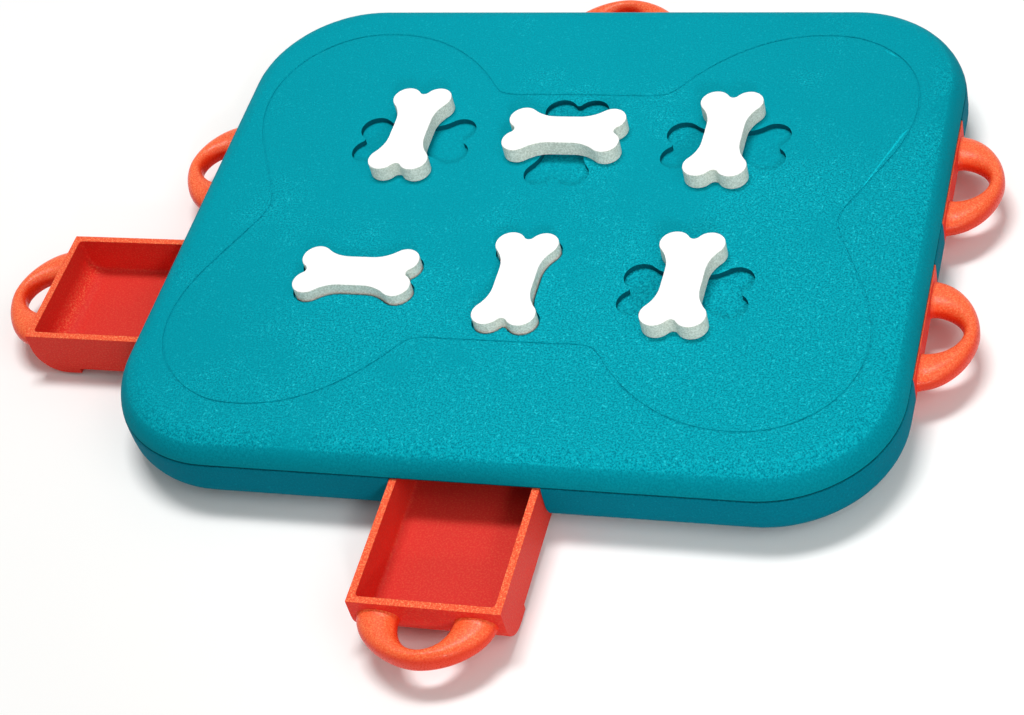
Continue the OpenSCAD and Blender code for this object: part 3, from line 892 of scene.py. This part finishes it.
def bone_with_stem():
    """A bone peg with its stem's axis at the origin, its underside at z = 0."""
    low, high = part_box("bone_peg_front")
    stem = (high.z - low.z) / MM - BONE_HEIGHT
    upper_edge = [(BONE_EDGE * (math.cos(a) - 1),
                   BONE_HEIGHT - BONE_EDGE + BONE_EDGE * math.sin(a))
                  for a in np.linspace(0, math.pi / 2, 5)]
    rings = [[(x, y, z) for x, y in bone_outline(grow)] for grow, z in BONE_UNDER_EDGE + upper_edge]
    turns = np.linspace(0, 2 * math.pi, STEM_SIDES + 1)[:-1]
    profile = [(STEM_RADIUS - STEM_CHAMFER, -stem), (STEM_RADIUS, STEM_CHAMFER - stem),
               (STEM_RADIUS, STEM_ROOT)]
    shaft = [[(r * math.cos(a), r * math.sin(a), z) for a in turns] for r, z in profile]
    return smooth(combined(stack(rings, "bone"), stack(shaft, "stem"), "UNION"))


bone = bone_with_stem()
for bay in BAY_TURNS:
    low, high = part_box("bone_peg_" + bay)
    turn = 0 if high.x - low.x > high.y - low.y else 90
    place = Vector(((low.x + high.x) / 2, (low.y + high.y) / 2, high.z - BONE_HEIGHT * MM))
    piece(moved(bone, turn, place), "bone_" + bay, bay + "_peg", (BONE,),
          ["bone_peg_" + bay])


# ---------- screws and feet ----------

for name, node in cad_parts.items():
    for start, finish in (("case_screw", ZINC), ("foot_", RUBBER)):
        if name.startswith(start):
            node.data.materials.clear()
            node.data.materials.append(finish)


# ---------- table, light and camera, in metres and degrees ----------

TABLE_HALF = 4
# From the middle of the table, where the eye sees the paper run out into plain white.
PAPER_END = 0.25, 0.42

# A soft white room, a wide key softbox high at the back, a small fill at the front right and a
# soft-edged spot on the middle of the cover: angles, distance, size or cone and radius, power.
SKY_STRENGTH = 0.30
KEY_SOFTBOX = -160, 77, 2.4, (1.0, 0.45), 38.6
SIDE_SOFTBOX = 62, 45, 1.5, (0.8, 0.8), 3.5
BONE_SPOT = 25, 24, 1.5, 10.5, 0.15, 76
COVER_MIDDLE = 0.01, 0, 0.034

# The camera that sees the toy as the photograph does.
CAMERA_AZIMUTH = 26.806
CAMERA_ELEVATION = 45.211
CAMERA_ROLL = -16.947
CAMERA_DISTANCE = 0.95106
CAMERA_TARGET = -0.007946, -0.049267, 0
CAMERA_LENS = 82.386
FILM_WIDTH = 36
CAMERA_RANGE = 50


def white_to_the_eye(graph):
    """1 for rays that look straight, in a reflection or through glass, 0 for rays of light."""
    straight, mirrored, through = graph.outputs(
        graph.add("ShaderNodeLightPath"),
        ("Is Camera Ray", "Is Glossy Ray", "Is Transmission Ray"))
    return straight.at_least(mirrored).at_least(through)


def table_paper(graph):
    """White paper under the toy, which the eye sees run out into white well away from it."""
    looks = white_to_the_eye(graph)
    paper = graph.add("ShaderNodeBsdfDiffuse", None, {"Color": graph.mix(looks, *PAPER_TONES)})
    place = graph.add("ShaderNodeTexCoord", out="Object")
    away = graph.add("ShaderNodeVectorMath", {"operation": "LENGTH"}, {"Vector": place},
                     out="Value")
    far = graph.step_up(away, *PAPER_END) * looks
    white = graph.add("ShaderNodeEmission", None, {"Color": WHITE, "Strength": 1})
    return graph.add("ShaderNodeMixShader", None, {0: far, 1: paper, 2: white})


def make_table():
    """A sheet of paper under the toy."""
    corners = [(-1, -1), (1, -1), (1, 1), (-1, 1)]
    mesh = bpy.data.meshes.new("table")
    mesh.from_pydata([(x * TABLE_HALF, y * TABLE_HALF, 0) for x, y in corners], [],
                     [(0, 1, 2, 3)])
    mesh.materials.append(material("white_paper", table_paper))
    linked("table", mesh)


def make_sky():
    """A room that lights softly and looks plain white."""
    world = bpy.data.worlds.new("studio")
    world.use_nodes = True
    bpy.context.scene.world = world
    graph = Graph(world.node_tree)
    looks = white_to_the_eye(graph)
    sky = graph.add("ShaderNodeBackground", None, {
        "Color": graph.mix(looks, *SKY_TONES), "Strength": looks + (1 - looks) * SKY_STRENGTH})
    graph.add("ShaderNodeOutputWorld", None, {"Surface": sky})


def toward(azimuth, elevation):
    """The direction from the toy to a lamp or camera."""
    a, e = math.radians(azimuth), math.radians(elevation)
    return Vector((math.sin(a) * math.cos(e), -math.cos(a) * math.cos(e), math.sin(e)))


def hang(lamp, azimuth, elevation, distance, target):
    """Hangs a lamp at this distance from a target, which it looks at."""
    back = toward(azimuth, elevation)
    turn = back.to_track_quat("Z", "Y").to_matrix().to_4x4()
    linked(lamp.name, lamp).matrix_world = Matrix.Translation(target + back * distance) @ turn


def softbox(name, azimuth, elevation, distance, size, power):
    """A rectangular lamp, as wide and deep as size, that looks at the middle of the case."""
    lamp = bpy.data.lights.new(name, "AREA")
    lamp.shape = "RECTANGLE"
    lamp.size, lamp.size_y = size
    lamp.energy = power
    hang(lamp, azimuth, elevation, distance, Vector((0, 0, 0)))


def spot(name, azimuth, elevation, distance, cone, radius, power):
    """A soft-edged lamp that lights only the middle of the cover."""
    lamp = bpy.data.lights.new(name, "SPOT")
    lamp.spot_size = math.radians(cone)
    lamp.spot_blend = 1
    lamp.shadow_soft_size = radius
    lamp.energy = power
    hang(lamp, azimuth, elevation, distance, Vector(COVER_MIDDLE))


def make_camera():
    """The camera: it looks at a point of the table, turned a little about its own axis."""
    back = toward(CAMERA_AZIMUTH, CAMERA_ELEVATION)
    right = (-back).cross(Vector((0, 0, 1))).normalized()
    up = right.cross(-back)
    roll = math.radians(CAMERA_ROLL)
    turned_right = right * math.cos(roll) + up * math.sin(roll)
    turned_up = up * math.cos(roll) - right * math.sin(roll)
    camera = bpy.data.cameras.new("camera")
    camera.sensor_width = FILM_WIDTH
    camera.lens = CAMERA_LENS
    camera.clip_end = CAMERA_RANGE
    obj = linked("camera", camera)
    axes = Matrix((turned_right, turned_up, back)).transposed().to_4x4()
    place = Vector(CAMERA_TARGET) + back * CAMERA_DISTANCE
    obj.matrix_world = Matrix.Translation(place) @ axes
    bpy.context.scene.camera = obj


make_table()
make_sky()
softbox("key_softbox", *KEY_SOFTBOX)
softbox("side_softbox", *SIDE_SOFTBOX)
spot("bone_spot", *BONE_SPOT)
make_camera()
bpy.context.scene.view_settings.view_transform = "Standard"
